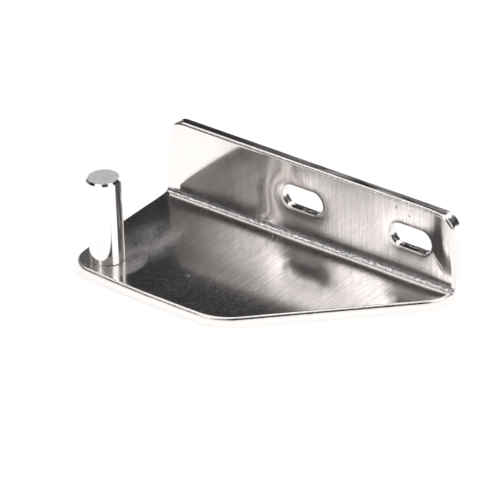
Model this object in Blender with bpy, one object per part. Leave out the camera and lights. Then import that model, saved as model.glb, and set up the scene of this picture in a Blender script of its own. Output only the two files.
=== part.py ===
import math

import bmesh
import bpy
from mathutils import Matrix, Vector

# Folded bracket, in metres
bracket_length = 0.0954
bracket_depth = 0.0510
flange_height = 0.0254
sheet_thickness = 0.00304
bend_inner_radius = 0.0014
bend_neutral_share = 0.42
edge_rounding = 0.0004

# Outline of the plate and the flange
nose_radius = 0.0081
left_side_radius = 0.238
front_side_radius = 0.350
front_corner_radius = 0.015
right_end_radius = 0.012
right_cut_rise = 0.04285
flange_corner_radius = 0.0046
flange_end_taper = math.radians(3.6)

# Screw slots in the flange, measured to their middles
slot_length = 0.0135
slot_width = 0.0069
slot_height = 0.0145
slot_spacing = 0.0356
slot_end_distance = 0.0144

# Pivot pin
pin_diameter = 0.0095
pin_height = 0.0247
pin_chamfer = 0.0006
pin_side_distance = 0.00925
pin_front_distance = 0.0094
pin_shank_diameter = 0.0070
pin_end_recess = 0.0002
pin_seat_gap = 0.00035
pin_shank_clearance = 0.0003
pin_lean = math.radians(1.5)

# Facets on round stretches
arc_step = math.radians(7.5)
bend_facets = 10
pin_facets = 64
cutter_margin = 0.002

bend_radius_outside = bend_inner_radius + sheet_thickness
bend_allowance = math.pi / 2 * (bend_inner_radius + bend_neutral_share * sheet_thickness)
plate_reach = bracket_depth - bend_radius_outside
flange_top = bend_allowance + flange_height - bend_radius_outside
nose_centre = Vector((pin_side_distance, pin_front_distance - plate_reach))


def clear_scene():
    for obj in list(bpy.data.objects):
        bpy.data.objects.remove(obj, do_unlink=True)


def metal(name, colour, roughness):
    material = bpy.data.materials.new(name)
    material.use_nodes = True
    shader = material.node_tree.nodes["Principled BSDF"]
    shader.inputs["Base Color"].default_value = (*colour, 1.0)
    shader.inputs["Metallic"].default_value = 1.0
    shader.inputs["Roughness"].default_value = roughness
    return material


def arc(centre, radius, start, end):
    """Points from one angle to the other, with both ends."""
    steps = max(2, math.ceil(abs(end - start) / arc_step))
    turns = [start + (end - start) * i / steps for i in range(steps + 1)]
    return [Vector(centre) + radius * Vector((math.cos(t), math.sin(t))) for t in turns]


# The blank lies flat as the sheet is cut: x runs along the bend, and y is 0 where the bend starts,
# less than 0 on the plate and more than 0 on the bend and the flange.
def blank_outline():
    left_centre_y = nose_centre.y + math.sqrt(
        (left_side_radius - nose_radius) ** 2 - (left_side_radius - nose_centre.x) ** 2
    )
    left_turn = math.atan2(nose_centre.y - left_centre_y, nose_centre.x - left_side_radius)
    front_centre_y = front_side_radius - plate_reach
    front_centre_x = nose_centre.x + math.sqrt(
        (front_side_radius - nose_radius) ** 2 - (front_centre_y - nose_centre.y) ** 2
    )
    front_turn = math.atan2(nose_centre.y - front_centre_y, nose_centre.x - front_centre_x)

    quarter = math.pi / 2
    cut_angle = math.pi / 4
    corner_tangent = front_corner_radius * math.tan(cut_angle / 2)
    cut_start = bracket_length - right_cut_rise
    end_centre = (
        bracket_length - right_end_radius,
        right_cut_rise - plate_reach + right_end_radius * math.tan(cut_angle / 2),
    )
    top_left_rise = flange_top - flange_corner_radius - bend_allowance
    top_left_x = (
        flange_corner_radius + top_left_rise * math.sin(flange_end_taper)
    ) / math.cos(flange_end_taper)

    outline = arc(nose_centre, nose_radius, left_turn, front_turn)
    outline += arc((front_centre_x, front_centre_y), front_side_radius, front_turn, -quarter)[1:]
    outline += arc(
        (cut_start - corner_tangent, front_corner_radius - plate_reach),
        front_corner_radius,
        -quarter,
        cut_angle - quarter,
    )
    outline += arc(end_centre, right_end_radius, cut_angle - quarter, 0)
    outline += arc(
        (bracket_length - flange_corner_radius, flange_top - flange_corner_radius),
        flange_corner_radius,
        0,
        quarter,
    )
    outline += arc(
        (top_left_x, flange_top - flange_corner_radius),
        flange_corner_radius,
        quarter,
        2 * quarter - flange_end_taper,
    )
    outline.append(Vector((0, bend_allowance)))
    outline += arc(
        (left_side_radius, left_centre_y), left_side_radius, -2 * quarter, left_turn
    )[:-1]
    return outline


def folded(point):
    """A point of the blank, x, y and depth below its upper face, carried round the bend."""
    x, y, depth = point
    across = -bend_radius_outside
    up = bend_radius_outside
    radius = bend_inner_radius + depth
    if y <= 0:
        return Vector((x, across + y, sheet_thickness - depth))
    if y >= bend_allowance:
        return Vector((x, across + radius, up + y - bend_allowance))
    turn = y / bend_allowance * math.pi / 2
    return Vector((x, across + radius * math.sin(turn), up - radius * math.cos(turn)))


def to_frame(point):
    """From the bracket's left end, back face and underside to the part's own origin."""
    return point + Vector((-bracket_length / 2, bracket_depth / 2, 0))


def new_object(name, shape, material=None):
    mesh = bpy.data.meshes.new(name)
    bmesh.ops.recalc_face_normals(shape, faces=shape.faces)
    shape.to_mesh(mesh)
    shape.free()
    obj = bpy.data.objects.new(name, mesh)
    bpy.context.scene.collection.objects.link(obj)
    if material:
        mesh.materials.append(material)
        mesh.shade_smooth()
        mesh.set_sharp_from_angle(angle=math.radians(30))
    return obj


def folded_sheet():
    shape = bmesh.new()
    corners = [shape.verts.new((p.x, p.y, 0)) for p in blank_outline()]
    upper = shape.faces.new(corners)
    made = bmesh.ops.extrude_face_region(shape, geom=[upper])
    lower = [item for item in made["geom"] if isinstance(item, bmesh.types.BMVert)]
    bmesh.ops.translate(shape, verts=lower, vec=(0, 0, sheet_thickness))
    for i in range(bend_facets + 1):
        bmesh.ops.bisect_plane(
            shape,
            geom=shape.verts[:] + shape.edges[:] + shape.faces[:],
            dist=1e-7,
            plane_co=(0, bend_allowance * i / bend_facets, 0),
            plane_no=(0, 1, 0),
        )
    for vert in shape.verts:
        vert.co = to_frame(folded(vert.co))
    return shape


def cutter(name, shape):
    obj = new_object(name, shape)
    obj.hide_render = True
    obj.display_type = "WIRE"
    return obj


def slot_cutter(name, middle_x):
    radius = slot_width / 2
    reach = slot_length / 2 - radius
    quarter = math.pi / 2
    outline = arc((reach, 0), radius, -quarter, quarter) + arc((-reach, 0), radius, quarter, 3 * quarter)
    shape = bmesh.new()
    front = -sheet_thickness - cutter_margin
    corners = [
        shape.verts.new(to_frame(Vector((middle_x + p.x, front, slot_height + p.y)))) for p in outline
    ]
    made = bmesh.ops.extrude_face_region(shape, geom=[shape.faces.new(corners)])
    back = [item for item in made["geom"] if isinstance(item, bmesh.types.BMVert)]
    bmesh.ops.translate(shape, verts=back, vec=(0, sheet_thickness + 2 * cutter_margin, 0))
    return cutter(name, shape)


def pin_foot():
    """Where the pin's axis meets the plate's upper face."""
    return to_frame(Vector((nose_centre.x, nose_centre.y - bend_radius_outside, sheet_thickness)))


def pin_hole_cutter():
    shape = bmesh.new()
    radius = pin_shank_diameter / 2 + pin_shank_clearance
    bmesh.ops.create_cone(
        shape,
        cap_ends=True,
        segments=pin_facets,
        radius1=radius,
        radius2=radius,
        depth=sheet_thickness + 2 * cutter_margin,
        matrix=Matrix.Translation(pin_foot() - Vector((0, 0, sheet_thickness / 2))),
    )
    return cutter("pin_hole_cutter", shape)


def bracket(material):
    obj = new_object("bracket", folded_sheet(), material)
    far_slot = bracket_length - slot_end_distance
    cutters = [
        slot_cutter("left_slot_cutter", far_slot - slot_spacing),
        slot_cutter("right_slot_cutter", far_slot),
        pin_hole_cutter(),
    ]
    for tool in cutters:
        cut = obj.modifiers.new(tool.name, "BOOLEAN")
        cut.operation = "DIFFERENCE"
        cut.object = tool
    rounding = obj.modifiers.new("sheared_edges", "BEVEL")
    rounding.width = edge_rounding
    rounding.segments = 3
    rounding.limit_method = "ANGLE"
    rounding.angle_limit = math.radians(50)
    rounding.use_clamp_overlap = False
    return obj


def pivot_pin(material):
    radius = pin_diameter / 2
    shank = pin_shank_diameter / 2
    bottom = pin_end_recess - sheet_thickness
    profile = [
        (0, bottom),
        (shank, bottom),
        (shank, pin_seat_gap),
        (radius, pin_seat_gap),
        (radius, pin_height - pin_chamfer),
        (radius - pin_chamfer, pin_height),
        (0, pin_height),
    ]
    shape = bmesh.new()
    verts = [shape.verts.new((x, 0, z)) for x, z in profile]
    edges = [shape.edges.new(pair) for pair in zip(verts, verts[1:])]
    bmesh.ops.spin(
        shape,
        geom=verts + edges,
        axis=(0, 0, 1),
        cent=(0, 0, 0),
        angle=2 * math.pi,
        steps=pin_facets,
        use_merge=True,
    )
    bmesh.ops.remove_doubles(shape, verts=shape.verts, dist=1e-7)
    obj = new_object("pivot_pin", shape, material)
    obj.location = pin_foot()
    obj.rotation_euler = (0, -pin_lean, 0)
    return obj


clear_scene()
bracket(metal("bracket_plating", (0.72, 0.70, 0.68), 0.16))
pivot_pin(metal("pin_plating", (0.78, 0.77, 0.76), 0.12))
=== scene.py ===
import math

import bmesh
import bpy
from mathutils import Matrix, Vector, noise


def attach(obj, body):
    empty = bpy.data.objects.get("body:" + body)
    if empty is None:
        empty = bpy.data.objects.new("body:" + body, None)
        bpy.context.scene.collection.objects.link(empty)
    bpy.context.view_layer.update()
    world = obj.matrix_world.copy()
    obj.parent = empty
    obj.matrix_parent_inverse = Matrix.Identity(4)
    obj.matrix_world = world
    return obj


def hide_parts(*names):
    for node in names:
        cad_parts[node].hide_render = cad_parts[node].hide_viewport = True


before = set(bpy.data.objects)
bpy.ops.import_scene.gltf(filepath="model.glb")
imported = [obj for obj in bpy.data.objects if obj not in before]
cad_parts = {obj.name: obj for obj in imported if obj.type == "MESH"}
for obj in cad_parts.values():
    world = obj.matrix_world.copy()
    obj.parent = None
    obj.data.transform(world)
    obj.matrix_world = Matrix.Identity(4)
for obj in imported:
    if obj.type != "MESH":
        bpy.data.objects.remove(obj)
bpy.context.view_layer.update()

quarter = math.pi / 2
mm = 0.001
cutTolerance = 1e-8
mergeDistance = 1e-7

# Camera: the photograph's view, found from the bracket's own edges. Angles are in degrees.
view = {
    "azimuth": 37.18,
    "elevation": 30.16,
    "roll": 0.99,
    "distance": 1.8,
    "focalPixels": 6762.6,
    "pictureWidth": 500,
    "sensor": 36.0,
    "clipEnd": 20,
    "aim": Vector((-0.0127, 0.0005, 0.012)),
    "aimRight": 0.007612,
    "aimUp": -0.005001,
}

# Folded bracket, in metres: the same outline as the solid, with the finer edges of a punched sheet
sheet = {
    "length": 0.0954,
    "depth": 0.0510,
    "flangeHeight": 0.0254,
    "thickness": 0.00304,
    "bendInside": 0.0014,
    "neutralShare": 0.42,
    "noseRadius": 0.0081,
    "leftRadius": 0.238,
    "frontRadius": 0.350,
    "cornerRadius": 0.015,
    "endRadius": 0.012,
    "cutRise": 0.04285,
    "flangeCorner": 0.0046,
    "endTaper": math.radians(3.6),
    "slotLength": 0.0135,
    "slotWidth": 0.0069,
    "slotHeight": 0.0145,
    "slotMiddles": (0.0454, 0.0810),
    "pinMiddle": (0.00925, 0.0094),
    "holeRadius": 0.0038,
    # Rounds of the cut edges, and how far from a slot or from the pin's middle theirs reach
    "edgeRound": 0.0008,
    "slotRound": 0.00013,
    "slotRoundReach": 0.0012,
    "holeRound": 0.0001,
    "holeRoundReach": 0.0055,
    "lowerRound": 0.00024,
    "insets": (0.02, 0.04, 0.06, 0.08, 0.10, 0.13, 0.16, 0.20, 0.24),  # in mm, each from the last
    # Torn lower part of the cut walls, from and to a share of the thickness
    "tearStart": 0.32,
    "tearEnd": 0.47,
    "tearRecess": 0.00005,
    # Sheet drawn in beside the bend
    "plateDraw": 0.13,
    "plateDrawReach": 0.0015,
    "flangeDraw": 0.22,
    "flangeDrawReach": 0.0014,
    # Creases along the bend: middle and width as shares of it, and depth
    "creases": (
        (0.80, 0.14, 0.00005),
        (0.93, 0.04, 0.00002),
        (0.66, 0.04, 0.00002),
        (0.42, 0.05, 0.000025),
        (0.2, 0.05, 0.00002),
    ),
    # Lift of the flange's right end, bow of its upper part, dishing round the slots, and waves
    "liftMiddle": 0.0936,
    "liftWidth": 0.0042,
    "liftHeight": 0.0008,
    "liftRise": 0.012,
    "bowStart": 0.007,
    "bowCurve": 0.4,
    "dishSlope": 0.115,
    "dishReach": 0.0030,
    "waveHeight": 0.000012,
    "waveLength": 0.014,
    # Fineness of the mesh, with more rows within a few steps of the bend
    "arcStep": math.radians(3.0),
    "leastArcSteps": 3,
    "bendSteps": 60,
    "gridStep": 0.0008,
    "fineSteps": 2,
    "rowsPerStep": 3,
    "wallRows": 5,
    "flatAngle": math.radians(1),
    "creaseAngle": math.radians(40),
}

bendOutside = sheet["bendInside"] + sheet["thickness"]
bendAllowance = quarter * (sheet["bendInside"] + sheet["neutralShare"] * sheet["thickness"])
plateReach = sheet["depth"] - bendOutside
flangeTop = bendAllowance + sheet["flangeHeight"] - bendOutside
slotMiddleY = bendAllowance + sheet["slotHeight"] - bendOutside
pinFlat = Vector((sheet["pinMiddle"][0], sheet["pinMiddle"][1] - plateReach))
toFrame = Vector((-sheet["length"] / 2, sheet["depth"] / 2, 0))


def arcPoints(centre, radius, start, end):
    steps = max(sheet["leastArcSteps"], math.ceil(abs(end - start) / sheet["arcStep"]))
    turns = [start + (end - start) * i / steps for i in range(steps + 1)]
    return [Vector(centre) + radius * Vector((math.cos(t), math.sin(t))) for t in turns]


# The sheet is drawn flat, as it is cut: x runs along the bend, and y is 0 where the bend starts, less than 0
# on the plate and more than 0 on the bend and the flange
def blankOutline():
    s = sheet
    nose, left, front, corner = s["noseRadius"], s["leftRadius"], s["frontRadius"], s["flangeCorner"]
    leftY = pinFlat.y + math.sqrt((left - nose) ** 2 - (left - pinFlat.x) ** 2)
    leftTurn = math.atan2(pinFlat.y - leftY, pinFlat.x - left)
    frontY = front - plateReach
    frontX = pinFlat.x + math.sqrt((front - nose) ** 2 - (frontY - pinFlat.y) ** 2)
    frontTurn = math.atan2(pinFlat.y - frontY, pinFlat.x - frontX)
    tangent = math.tan(quarter / 4)
    cutMiddle = (s["length"] - s["cutRise"] - s["cornerRadius"] * tangent, s["cornerRadius"] - plateReach)
    endMiddle = (s["length"] - s["endRadius"], s["cutRise"] - plateReach + s["endRadius"] * tangent)
    top = flangeTop - corner
    topLeftX = (corner + (top - bendAllowance) * math.sin(s["endTaper"])) / math.cos(s["endTaper"])
    outline = arcPoints(pinFlat, nose, leftTurn, frontTurn)
    outline += arcPoints((frontX, frontY), front, frontTurn, -quarter)[1:]
    outline += arcPoints(cutMiddle, s["cornerRadius"], -quarter, -quarter / 2)
    outline += arcPoints(endMiddle, s["endRadius"], -quarter / 2, 0)
    outline += arcPoints((s["length"] - corner, top), corner, 0, quarter)
    outline += arcPoints((topLeftX, top), corner, quarter, 2 * quarter - s["endTaper"])
    outline.append(Vector((0, bendAllowance)))
    outline += arcPoints((left, leftY), left, -2 * quarter, leftTurn)[:-1]
    return outline


def slotOutline(middleX):
    radius = sheet["slotWidth"] / 2
    reach = sheet["slotLength"] / 2 - radius
    right = arcPoints((middleX + reach, slotMiddleY), radius, -quarter, quarter)
    return right + arcPoints((middleX - reach, slotMiddleY), radius, quarter, 3 * quarter)


def addLoop(shape, points):
    verts = [shape.verts.new((p.x, p.y, 0)) for p in points]
    return [shape.edges.new(pair) for pair in zip(verts, verts[1:] + verts[:1])]


def smoothStep(low, high, value):
    t = min(1, max(0, (value - low) / (high - low)))
    return t * t * (3 - 2 * t)


def bump(value, middle, width):
    return math.exp(-(((value - middle) / width) ** 2))


def slotDistance(x, y):
    reach = (sheet["slotLength"] - sheet["slotWidth"]) / 2
    along = min(abs(x - middle) for middle in sheet["slotMiddles"])
    return max(0, math.hypot(max(0, along - reach), y - slotMiddleY) - sheet["slotWidth"] / 2)


def edgeRadius(x, y):
    if slotDistance(x, y) < sheet["slotRoundReach"]:
        return sheet["slotRound"]
    if math.hypot(x - pinFlat.x, y - pinFlat.y) < sheet["holeRoundReach"]:
        return sheet["holeRound"]
    return sheet["edgeRound"]


def roundDrop(radius, inset):
    return radius - math.sqrt(radius**2 - (radius - inset) ** 2) if inset < radius else 0


# How far the upper face lies below flat, where less than 0 is above it
def sheetSag(x, y):
    s = sheet
    share = smoothStep(0, bendAllowance, y)
    onFlange = smoothStep(bendAllowance, bendAllowance + s["liftRise"], y)
    plateFade = math.exp(min(0, y) / s["plateDrawReach"])
    sag = -s["plateDraw"] * s["plateDrawReach"] * plateFade * (1 - share)
    flangeFade = math.exp(min(0, bendAllowance - y) / s["flangeDrawReach"])
    sag -= s["flangeDraw"] * s["flangeDrawReach"] * flangeFade * share
    sag += s["dishSlope"] * s["dishReach"] * math.exp(-slotDistance(x, y) / s["dishReach"])
    sag -= s["liftHeight"] * onFlange * bump(x, s["liftMiddle"], s["liftWidth"])
    sag += 0.5 * s["bowCurve"] * max(0, y - bendAllowance - s["bowStart"]) ** 2
    for middle, width, depth in s["creases"]:
        sag += depth * bump(y / bendAllowance, middle, width)
    return sag + s["waveHeight"] * noise.noise(Vector((x, y, 0)) / s["waveLength"])


# A point of the flat sheet and its depth below the upper face, carried round the bend
def folded(x, y, depth):
    radius = sheet["bendInside"] + depth
    if y <= 0:
        return Vector((x, y - bendOutside, sheet["thickness"] - depth))
    if y >= bendAllowance:
        return Vector((x, radius - bendOutside, bendOutside + y - bendAllowance))
    turn = y / bendAllowance * quarter
    return Vector((x, radius * math.sin(turn) - bendOutside, bendOutside - radius * math.cos(turn)))


pinFoot = folded(pinFlat.x, pinFlat.y, 0) + toFrame


def finish(name, shape, creaseAngle):
    mesh = bpy.data.meshes.new(name)
    shape.to_mesh(mesh)
    shape.free()
    mesh.shade_smooth()
    mesh.set_sharp_from_angle(angle=creaseAngle)
    piece = bpy.data.objects.new(name, mesh)
    bpy.context.scene.collection.objects.link(piece)
    weighted = piece.modifiers.new("flatFacesFirst", "WEIGHTED_NORMAL")
    weighted.keep_sharp = True
    return piece


# The filled outline with rings of faces beside every edge, which the rounds are shaped from
def flatSheet():
    shape = bmesh.new()
    inset = shape.verts.layers.float.new("inset")
    edges = addLoop(shape, blankOutline())
    for middleX in sheet["slotMiddles"]:
        edges += addLoop(shape, slotOutline(middleX))
    edges += addLoop(shape, arcPoints(pinFlat, sheet["holeRadius"], 0, 4 * quarter)[:-1])
    bmesh.ops.triangle_fill(shape, use_beauty=True, use_dissolve=False, edges=edges, normal=(0, 0, 1))
    inner = shape.faces[:]
    reached = 0
    for step in sheet["insets"]:
        reached += step * mm
        bmesh.ops.inset_region(
            shape, faces=inner, thickness=step * mm, use_boundary=True, use_even_offset=True
        )
        for face in inner:
            for vert in face.verts:
                vert[inset] = reached
    # Kept in the mesh's own order, so that every run gives the same faces
    flat = set(inner)
    flatEdges = [edge for edge in shape.edges if all(face in flat for face in edge.link_faces)]
    bmesh.ops.dissolve_limit(
        shape, angle_limit=sheet["flatAngle"], verts=[], edges=flatEdges, use_dissolve_boundaries=False
    )
    return shape


def gridLines():
    step = sheet["gridStep"]
    perStep, firstWhole = sheet["rowsPerStep"], sheet["fineSteps"] + 1
    rows = [bendAllowance * i / sheet["bendSteps"] for i in range(sheet["bendSteps"] + 1)]
    for i in range(1, sheet["fineSteps"] * perStep + 1):
        rows += [-step * i / perStep, bendAllowance + step * i / perStep]
    rows += [-step * i for i in range(firstWhole, math.ceil(plateReach / step))]
    rows += [bendAllowance + step * i for i in range(firstWhole, math.ceil(flangeTop / step))]
    columns = [step * i for i in range(1, math.ceil(sheet["length"] / step))]
    return [((0, y, 0), (0, 1, 0)) for y in rows] + [((x, 0, 0), (1, 0, 0)) for x in columns]


def buildBracket():
    shape = flatSheet()
    for place, facing in gridLines():
        bmesh.ops.bisect_plane(
            shape,
            geom=shape.verts[:] + shape.edges[:] + shape.faces[:],
            dist=cutTolerance,
            plane_co=place,
            plane_no=facing,
        )
    made = bmesh.ops.extrude_face_region(shape, geom=shape.faces[:])
    lower = {item for item in made["geom"] if isinstance(item, bmesh.types.BMVert)}
    bmesh.ops.translate(shape, verts=list(lower), vec=(0, 0, -1))
    walls = [edge for edge in shape.edges if (edge.verts[0] in lower) != (edge.verts[1] in lower)]
    bmesh.ops.subdivide_edges(shape, edges=walls, cuts=sheet["wallRows"])
    bmesh.ops.recalc_face_normals(shape, faces=shape.faces)
    shape.normal_update()
    inset = shape.verts.layers.float["inset"]
    down = shape.verts.layers.float.new("down")
    bent = shape.verts.layers.float.new("bent")
    places = []
    for vert in shape.verts:
        x, y, share = vert.co.x, vert.co.y, -vert.co.z
        top = sheetSag(x, y) + roundDrop(edgeRadius(x, y), vert[inset])
        bottom = sheet["thickness"] - roundDrop(sheet["lowerRound"], vert[inset])
        if 0 < share < 1:
            recess = smoothStep(sheet["tearStart"], sheet["tearEnd"], share) * sheet["tearRecess"]
            x, y = x - vert.normal.x * recess, y - vert.normal.y * recess
        vert[down] = share
        vert[bent] = y / bendAllowance
        places.append(folded(x, y, top + (bottom - top) * share) + toFrame)
    for vert, place in zip(shape.verts, places):
        vert.co = place
    bmesh.ops.recalc_face_normals(shape, faces=shape.faces)
    return finish("bracketSheet", shape, sheet["creaseAngle"])


# Pivot pin, in metres
pin = {
    "radius": 0.00475,
    "height": 0.0247,
    "chamfer": 0.0006,
    "footChamfer": 0.00012,
    "seat": 0.00004,
    "shankRadius": 0.0037,
    "shankChamfer": 0.0002,
    "endRecess": 0.0002,
    "lean": math.radians(1.5),
    "segments": 192,
    "creaseAngle": math.radians(30),
}


def buildPin():
    p = pin
    shape = bmesh.new()
    bottom = p["endRecess"] - sheet["thickness"]
    profile = [
        (0, bottom),
        (p["shankRadius"] - p["shankChamfer"], bottom),
        (p["shankRadius"], bottom + p["shankChamfer"]),
        (p["shankRadius"], p["seat"]),
        (p["radius"] - p["footChamfer"], p["seat"]),
        (p["radius"], p["seat"] + p["footChamfer"]),
        (p["radius"], p["height"] - p["chamfer"]),
        (p["radius"] - p["chamfer"], p["height"]),
        (0, p["height"]),
    ]
    verts = [shape.verts.new((x, 0, z)) for x, z in profile]
    edges = [shape.edges.new(pair) for pair in zip(verts, verts[1:])]
    bmesh.ops.spin(
        shape,
        geom=verts + edges,
        axis=(0, 0, 1),
        cent=(0, 0, 0),
        angle=4 * quarter,
        steps=p["segments"],
        use_merge=True,
    )
    bmesh.ops.remove_doubles(shape, verts=shape.verts, dist=mergeDistance)
    bmesh.ops.recalc_face_normals(shape, faces=shape.faces)
    place = Matrix.Translation(pinFoot) @ Matrix.Rotation(-p["lean"], 4, "Y")
    bmesh.ops.transform(shape, matrix=place, verts=shape.verts)
    return finish("pinTurned", shape, p["creaseAngle"])


class Value:
    def __init__(self, maker, socket):
        self.maker = maker
        self.socket = socket

    def __add__(self, other):
        return self.maker.math("ADD", self, other)

    def __sub__(self, other):
        return self.maker.math("SUBTRACT", self, other)

    def __rsub__(self, other):
        return self.maker.math("SUBTRACT", other, self)

    def __mul__(self, other):
        return self.maker.math("MULTIPLY", self, other)

    __radd__ = __add__
    __rmul__ = __mul__


class NodeMaker:
    def __init__(self, owner):
        owner.use_nodes = True
        self.nodes = owner.node_tree.nodes
        self.links = owner.node_tree.links

    def feed(self, socket, value):
        if isinstance(value, Value):
            self.links.new(value.socket, socket)
        else:
            socket.default_value = value

    def add(self, kind, settings=None, inputs=None, output=0):
        node = self.nodes.new("ShaderNode" + kind)
        for key, value in (settings or {}).items():
            setattr(node, key, value)
        for key, value in (inputs or {}).items():
            self.feed(node.inputs[key], value)
        return Value(self, node.outputs[output])

    def axes(self, vector):
        split = self.add("SeparateXYZ", inputs={0: vector}).socket.node
        return tuple(Value(self, socket) for socket in split.outputs)

    def math(self, operation, *values):
        return self.add("Math", {"operation": operation}, dict(enumerate(values)))

    def length(self, across, along):
        return self.math("SQRT", across * across + along * along)

    def rise(self, value, low, high):
        band = {"Value": value, "From Min": low, "From Max": high}
        return self.add("MapRange", {"interpolation_type": "SMOOTHSTEP"}, band)

    def fall(self, value, low, high):
        return 1 - self.rise(value, low, high)

    def blend(self, share, first, second):
        return self.add("Mix", {"data_type": "RGBA"}, {0: share, 6: first, 7: second}, 2)

    # A noise pattern from its stretch along x, y and z, its turn, scale, detail and roughness
    def pattern(self, position, stretch, turn, scale, detail, roughness):
        placed = self.add("Mapping", inputs={"Vector": position, "Rotation": (0, 0, turn), "Scale": stretch})
        values = {"Vector": placed, "Scale": scale, "Detail": detail, "Roughness": roughness}
        return self.add("TexNoise", inputs=values)

    def bumped(self, height):
        return self.add("Bump", inputs={"Strength": 1.0, "Distance": 1.0, "Height": height})


# A pair named for a band is where something starts to fade in or out and where that ends
platingLook = {
    "colour": (0.985, 0.945, 0.925, 1),
    "streakColour": (0.77, 0.738, 0.722, 1),
    "roughness": 0.072,
    "plateRoughness": 0.063,
    "patterns": {
        "brush": ((1, 0.035, 0.035), 0, 4200, 2, 0.6),
        "long": ((1, 0.015, 0.015), 0, 1900, 3, 0.6),
        "specks": ((1, 0.3, 0.3), 0, 5000, 2, 0.6),
        "patches": ((1, 1, 1), 0, 150, 2, 0.5),
        "creases": ((0.22, 1, 1), 0, 4600, 2, 0.6),
        "topStreaks": ((0.04, 1, 1), 0, 2200, 2, 0.5),
        "slotStreaks": ((0.25, 1, 1), 0.6, 2200, 2, 0.5),
        "wisps": ((1, 0.5, 1), 0, 120, 2, 0.5),
        "edges": ((1, 1, 1), 0, 2600, 2, 0.6),
        "tears": ((1, 0.12, 0.12), 0, 2200, 3, 0.6),
    },
    "patchRoughness": 0.03,
    # Where each part of the sheet is: shares of the thickness and of the bend, or metres
    "wallInset": 0.00002,
    "wallStart": 0.02,
    "tornBand": (0.34, 0.44),
    "flangeFade": 0.0002,
    "plateTopStart": (0.0024, 0.0028),
    "plateTopEnd": (0.0031, 0.0033),
    "bendStart": (0.02, 0.12),
    "bendEnd": (0.90, 0.98),
    "upperSide": 0.01,
    "edgeBand": (0.0003, 0.0008),
    # Brush marks, fainter where the flange is polished
    "brushBand": (0.36, 0.66),
    "longBand": (0.38, 0.64),
    "longShare": 0.4,
    "brushDepth": 0.0000018,
    "longDepth": 0.0000022,
    "polish": 0.8,
    "polishAlong": (0.010, 0.030),
    "polishFront": (-0.0028, -0.0024),
    "speckBand": (0.52, 0.70),
    "speckRoughness": 0.05,
    "speckFilm": 0.18,
    "edgeDepth": 0.00005,
    # Painted shade in the bend: its colour is darkened a little all along it and fully where the crease
    # pattern is high. Then come the bend's roughness and bump.
    "bendShadeColour": (0.36, 0.36, 0.375, 1),
    "bendShadeShare": 0.15,
    "creaseShadeBand": (0.42, 0.58),
    "bendRoughness": 0.14,
    "creaseRoughness": 0.1,
    "bendDepth": 0.000035,
    # Cut walls: torn below, with streaks on the flange's top and in the slots
    "tearRoughness": 0.17,
    "tearDepth": 0.00004,
    "topWallUp": (0.0235, 0.0245),
    "topWallAlong": (0.015, 0.06),
    "topStreakBand": (0.42, 0.58),
    "topFilm": 0.45,
    "slotWallUp": (0.0190, 0.0200),
    "slotStreakBand": (0.52, 0.60),
    "slotFilm": 0.5,
    # Ring and haze round the pin
    "ringRadius": 0.0104,
    "ringWidth": 0.00022,
    "ringFade": 0.0006,
    "ringFilm": 0.35,
    "leftHaze": 0.5,
    "rightSkew": -0.35,
    "rightBand": (0.002, 0.0075),
    "cloudMiddle": (0.004, 0.013),
    "cloudSquash": (1.2, 0.62),
    "cloudBand": (0.001, 0.0125),
    "wispBand": (0.30, 0.72),
    "ringHaze": 0.25,
    "wispHaze": 0.6,
    "hazeRoughness": 0.08,
    "hazeFilm": 0.5,
    # Dents, by place, radius and depth, and a scratch, by its ends, width and depth
    "dents": ((0.0328, -0.0367, 0.00055, 0.00006), (0.0167, -0.0069, 0.0003, 0.00003)),
    "flangeDents": (
        (0.0356, 0.0062, 0.0003, 0.00004),
        (0.0371, 0.0067, 0.0003, 0.00004),
        (0.0763, 0.0228, 0.0005, 0.00006),
        (0.0806, 0.0213, 0.0004, 0.00005),
    ),
    "scratch": ((0.0886, 0.0126), (0.0918, 0.0094), 0.0002, 0.00004),
}


def sheetMasks(maker, look, z):
    inset, down, bent = (
        maker.add("Attribute", {"attribute_name": name}, output="Fac") for name in ("inset", "down", "bent")
    )
    wall = maker.fall(inset, 0, look["wallInset"]) * maker.rise(down, 0, look["wallStart"])
    alongBend = maker.rise(bent, *look["bendStart"]) * maker.fall(bent, *look["bendEnd"])
    return {
        "wall": wall,
        "torn": wall * maker.rise(down, *look["tornBand"]),
        "flange": maker.rise(z, bendOutside, bendOutside + look["flangeFade"]),
        "plateTop": maker.rise(z, *look["plateTopStart"]) * maker.fall(z, *look["plateTopEnd"]),
        "bend": alongBend * maker.fall(down, 0, look["upperSide"]),
        "nearEdge": maker.fall(inset, *look["edgeBand"]) * (1 - wall),
    }


def pinMarks(maker, look, x, y, wisps):
    pinX = x - pinFlat.x
    pinY = y - (pinFlat.y - bendOutside)
    fromPin = maker.length(pinX, pinY)
    radius, width = look["ringRadius"], look["ringWidth"]
    ring = maker.rise(fromPin, radius - width, radius) * maker.fall(fromPin, radius, radius + width)
    right = maker.rise(pinX + pinY * look["rightSkew"], *look["rightBand"])
    insideRing = maker.fall(fromPin, radius - look["ringFade"], radius)
    insideRing = insideRing * (look["leftHaze"] + right * (1 - look["leftHaze"]))
    (cloudX, cloudY), (squashX, squashY) = look["cloudMiddle"], look["cloudSquash"]
    fromCloud = maker.length((pinX - cloudX) * squashX, (pinY - cloudY) * squashY)
    cloud = maker.rise(wisps, *look["wispBand"]) * maker.fall(fromCloud, *look["cloudBand"])
    haze = maker.math("MAXIMUM", insideRing * (look["ringHaze"] + wisps * look["wispHaze"]), cloud)
    return haze, ring * right


def scratchCut(maker, look, x, z):
    (startX, startZ), (endX, endZ), width, depth = look["scratch"]
    reach = math.hypot(endX - startX, endZ - startZ)
    alongX, alongZ = (endX - startX) / reach, (endZ - startZ) / reach
    along = (x - startX) * alongX + (z - startZ) * alongZ
    beyond = maker.math("ABSOLUTE", along - reach / 2) - reach / 2
    across = maker.math("ABSOLUTE", (x - startX) * alongZ - (z - startZ) * alongX)
    return maker.fall(across, 0, width) * maker.fall(beyond, 0, width) * depth


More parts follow.
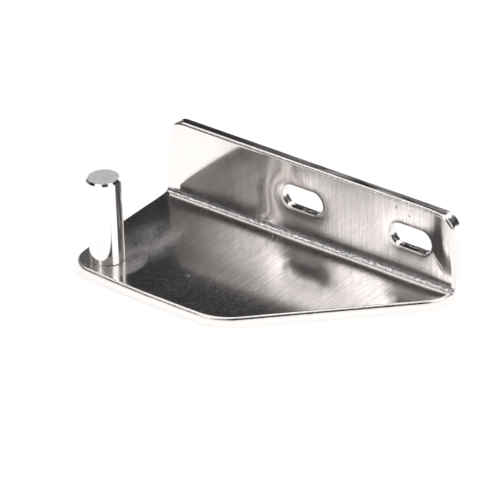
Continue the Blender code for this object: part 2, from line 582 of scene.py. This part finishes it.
def platedSheet():
    look = platingLook
    material = bpy.data.materials.new("brushedPlating")
    maker = NodeMaker(material)
    surface = maker.nodes["Principled BSDF"].inputs
    position = maker.add("TexCoord", output="Object")
    x, y, z = maker.axes(position)
    x = x - toFrame.x  # from the bracket's left end
    y = y - toFrame.y  # from its back face, less than 0 towards the front
    part = sheetMasks(maker, look, z)
    marks = {name: maker.pattern(position, *row) for name, row in look["patterns"].items()}
    haze, ring = (mark * part["plateTop"] for mark in pinMarks(maker, look, x, y, marks["wisps"]))
    speckled = maker.rise(marks["specks"], *look["speckBand"]) * (1 - part["wall"])
    notBend = 1 - part["bend"]

    roughness = look["roughness"] + marks["patches"] * look["patchRoughness"]
    roughness = roughness + speckled * look["speckRoughness"] + part["plateTop"] * look["plateRoughness"]
    roughness = roughness + haze * look["hazeRoughness"]
    inBend = look["bendRoughness"] + marks["creases"] * look["creaseRoughness"]
    roughness = roughness * notBend + part["bend"] * inBend
    roughness = roughness * (1 - part["torn"]) + part["torn"] * look["tearRoughness"]
    maker.feed(surface["Roughness"], roughness)

    streaks = maker.rise(marks["brush"], *look["brushBand"]) * (1 - look["longShare"])
    streaks = streaks + maker.rise(marks["long"], *look["longBand"]) * look["longShare"]
    polished = maker.fall(x, *look["polishAlong"]) * maker.fall(y, *look["polishFront"]) * look["polish"]
    streaks = streaks * (1 - part["flange"] * polished) * notBend * (1 - part["wall"])
    # Painted shade: the bend's colour is darkened a little everywhere and fully where the crease pattern is
    # high
    bendShade = look["bendShadeShare"] + (1 - look["bendShadeShare"]) * maker.rise(marks["creases"], *look["creaseShadeBand"])
    tint = maker.blend(streaks, look["colour"], look["streakColour"])
    maker.feed(surface["Base Color"], maker.blend(part["bend"] * bendShade, tint, look["bendShadeColour"]))

    film = haze * look["hazeFilm"] + speckled * look["speckFilm"] + ring * look["ringFilm"]
    topWall = part["wall"] * maker.rise(z, *look["topWallUp"]) * maker.rise(x, *look["topWallAlong"])
    slotWall = part["wall"] * part["flange"] * maker.fall(z, *look["slotWallUp"])
    film = film + topWall * maker.rise(marks["topStreaks"], *look["topStreakBand"]) * look["topFilm"]
    film = film + slotWall * maker.rise(marks["slotStreaks"], *look["slotStreakBand"]) * look["slotFilm"]
    maker.feed(surface["Metallic"], 1 - film)

    height = (marks["brush"] * look["brushDepth"] + marks["long"] * look["longDepth"]) * notBend
    height = height + marks["creases"] * part["bend"] * look["bendDepth"]
    height = height + marks["edges"] * part["nearEdge"] * look["edgeDepth"]
    height = height + marks["tears"] * part["torn"] * part["flange"] * look["tearDepth"]
    for markX, markY, radius, depth in look["dents"]:
        dent = maker.fall(maker.length(x - markX, y - markY), 0, radius) * depth
        height = height - part["plateTop"] * dent
    for markX, markZ, radius, depth in look["flangeDents"]:
        dent = maker.fall(maker.length(x - markX, z - markZ), 0, radius) * depth
        height = height - part["flange"] * dent
    height = height - part["flange"] * scratchCut(maker, look, x, z)
    maker.feed(surface["Normal"], maker.bumped(height))
    return material


pinLook = {
    "colour": (0.97, 0.95, 0.937, 1),
    "roughness": 0.06,
    "pits": ((1, 1, 1), 0, 2600, 3, 0.6),
    "pitBand": (0.42, 0.60),
    "topBand": (-0.00005, -0.00001),  # from the pin's top
    "topRoughness": 0.75,
    "topDepth": 0.00008,
    "topColour": (0.66, 0.655, 0.65, 1),
    "scuffs": ((1, 1, 0.15), 0, 900, 3, 0.6),
    "scuffRoughness": 0.05,
    "scuffDepth": 0.000001,
}


def platedPin():
    look = pinLook
    material = bpy.data.materials.new("pinPlating")
    maker = NodeMaker(material)
    surface = maker.nodes["Principled BSDF"].inputs
    position = maker.add("TexCoord", output="Object")
    lean = (-math.sin(pin["lean"]), 0, math.cos(pin["lean"]))
    fromFoot = maker.add("VectorMath", {"operation": "SUBTRACT"}, {0: position, 1: pinFoot})
    alongPin = maker.add("VectorMath", {"operation": "DOT_PRODUCT"}, {0: fromFoot, 1: lean}, "Value")
    onTop = maker.rise(alongPin - pin["height"], *look["topBand"])
    pits = maker.pattern(position, *look["pits"])
    scuffs = maker.pattern(position, *look["scuffs"])
    roughness = look["roughness"] + scuffs * look["scuffRoughness"] + onTop * look["topRoughness"]
    maker.feed(surface["Roughness"], roughness)
    pitted = onTop * maker.rise(pits, *look["pitBand"])
    maker.feed(surface["Base Color"], maker.blend(pitted, look["colour"], look["topColour"]))
    surface["Metallic"].default_value = 1
    height = pits * onTop * look["topDepth"] + scuffs * look["scuffDepth"]
    maker.feed(surface["Normal"], maker.bumped(height))
    return material


def addCamera():
    turn, rise, roll = (math.radians(view[key]) for key in ("azimuth", "elevation", "roll"))
    back = Vector((math.sin(turn) * math.cos(rise), -math.cos(turn) * math.cos(rise), math.sin(rise)))
    level = Vector((math.cos(turn), math.sin(turn), 0))
    upright = back.cross(level)
    right = level * math.cos(roll) - upright * math.sin(roll)
    up = upright * math.cos(roll) + level * math.sin(roll)
    aim = view["aim"] + right * view["aimRight"] + up * view["aimUp"]
    data = bpy.data.cameras.new("photoView")
    data.sensor_width = view["sensor"]
    data.lens = view["sensor"] * view["focalPixels"] / view["pictureWidth"]
    data.clip_end = view["clipEnd"]
    camera = bpy.data.objects.new("photoView", data)
    turned = Matrix((right, up, back)).transposed().to_4x4()
    camera.matrix_world = Matrix.Translation(aim + back * view["distance"]) @ turned
    bpy.context.scene.collection.objects.link(camera)
    bpy.context.scene.camera = camera


addCamera()
print("camera placed")
bracket = buildBracket()
bracket.data.materials.append(platedSheet())
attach(bracket, "root")
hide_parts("bracket")
print("bracket built:", len(bracket.data.polygons), "faces")
pivot = buildPin()
pivot.data.materials.append(platedPin())
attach(pivot, "root")
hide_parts("pivot_pin")
print("pin built:", len(pivot.data.polygons), "faces")

studio = {
    "level": 0.22,
    # By direction from the object: azimuth, half width, elevation, half height and softness in degrees, then
    # brightness. A later panel lies over an earlier one.
    "panels": (
        (0, 180, 90, 45, 6, 1.15),
        (318, 30, 38, 38, 8, 0.05),
        (8, 25, 33, 22, 6, 1.4),
        (90, 16, 24, 22, 6, 1.4),
        (50, 24, 24, 27, 6, 0.04),
        (126, 24, 17, 26, 6, 0.02),
        (220, 23, 20, 27, 5, 0.03),
        (267, 20, 52, 9, 5, 1.1),
        (255, 13, 28, 18, 5, 1.2),
    ),
    "floorSize": 6.0,
    "floorColour": (0.72, 0.72, 0.72, 1),
    "floorGlow": 0.56,
}

# A soft light at the left of the camera's view, close enough that the folded sheet mirrors its edges. Its
# places are in metres across and up, and each pair is where a fade starts and ends.
lightCard = {
    "turn": 232.8,
    "rise": 30.2,
    "distance": 0.22,
    "left": -0.06,
    "right": 0.055,
    "low": -0.032,
    "high": 0.042,
    "lean": 0.6,
    "fadeLow": (-0.025, -0.009),
    "fadeTop": (0.029, 0.045),
    "fadeBottom": (-0.015, -0.002),
    "brightUp": (0.005, 0.025),
    "brightRight": (0.026, 0.045),
    "cornerRight": (-0.042, -0.034),
    "cornerUp": (-0.006, 0.002),
    "cornerGlow": 0.26,
    "dark": 0.01,
    "pale": 1.0,
    "bright": 1.7,
}
white = (1, 1, 1, 1)


def addStudio():
    world = bpy.data.worlds.new("studio")
    maker = NodeMaker(world)
    x, y, z = maker.axes(maker.add("TexCoord", output="Generated"))
    turn = maker.math("ARCTAN2", y, x)
    rise = maker.math("ARCSINE", z)
    level = studio["level"]
    for *angles, brightness in studio["panels"]:
        middle, wide, high, tall, soft = (math.radians(angle) for angle in angles)
        aside = maker.math("ABSOLUTE", maker.math("WRAP", turn - middle, math.pi, -math.pi))
        above = maker.math("ABSOLUTE", rise - high)
        mask = maker.fall(aside, wide - soft / 2, wide + soft / 2)
        mask = mask * maker.fall(above, tall - soft / 2, tall + soft / 2)
        level = mask * brightness + (1 - mask) * level
    maker.feed(maker.nodes["Background"].inputs["Strength"], level)
    maker.nodes["Background"].inputs["Color"].default_value = white
    bpy.context.scene.world = world


# A flat rectangle, from its left, right, low and high sides
def addPlane(name, left, right, low, high, material):
    mesh = bpy.data.meshes.new(name)
    mesh.from_pydata([(left, low, 0), (right, low, 0), (right, high, 0), (left, high, 0)], [], [(0, 1, 2, 3)])
    mesh.materials.append(material)
    plane = bpy.data.objects.new(name, mesh)
    bpy.context.scene.collection.objects.link(plane)
    return plane


def addFloor():
    reach = studio["floorSize"] / 2
    material = bpy.data.materials.new("paper")
    surface = NodeMaker(material).nodes["Principled BSDF"].inputs
    surface["Base Color"].default_value = studio["floorColour"]
    surface["Roughness"].default_value = 1
    surface["Specular IOR Level"].default_value = 0
    surface["Emission Color"].default_value = white
    surface["Emission Strength"].default_value = studio["floorGlow"]
    floor = addPlane("floor", -reach, reach, -reach, reach, material)


def cardLight():
    c = lightCard
    material = bpy.data.materials.new("sideCard")
    maker = NodeMaker(material)
    x, y = maker.axes(maker.add("TexCoord", output="Object"))[:2]
    leaning = x * c["lean"]
    lit = maker.rise(y + leaning, *c["fadeLow"]) * maker.fall(y - leaning, *c["fadeTop"])
    lit = lit * maker.rise(y, *c["fadeBottom"])
    brighter = maker.math("MAXIMUM", maker.rise(y, *c["brightUp"]), maker.rise(x, *c["brightRight"]))
    corner = maker.fall(x, *c["cornerRight"]) * maker.fall(y, *c["cornerUp"]) * c["cornerGlow"]
    glow = corner + c["dark"] + lit * (c["pale"] - c["dark"] + brighter * (c["bright"] - c["pale"]))
    emission = maker.add("Emission", inputs={"Strength": glow})
    maker.feed(maker.nodes["Material Output"].inputs["Surface"], emission)
    return material


def addCard():
    c = lightCard
    turn, rise = math.radians(c["turn"]), math.radians(c["rise"])
    facing = Vector((math.cos(turn) * math.cos(rise), math.sin(turn) * math.cos(rise), math.sin(rise)))
    sideways = Vector((0, 0, 1)).cross(facing).normalized()
    turned = Matrix((sideways, facing.cross(sideways), facing)).transposed().to_4x4()
    card = addPlane("sideCard", c["left"], c["right"], c["low"], c["high"], cardLight())
    card.matrix_world = Matrix.Translation(facing * c["distance"]) @ turned
    card.visible_camera = card.visible_shadow = card.visible_diffuse = False


addStudio()
addFloor()
addCard()
print("studio lit")
bpy.context.scene.view_settings.view_transform = "Standard"
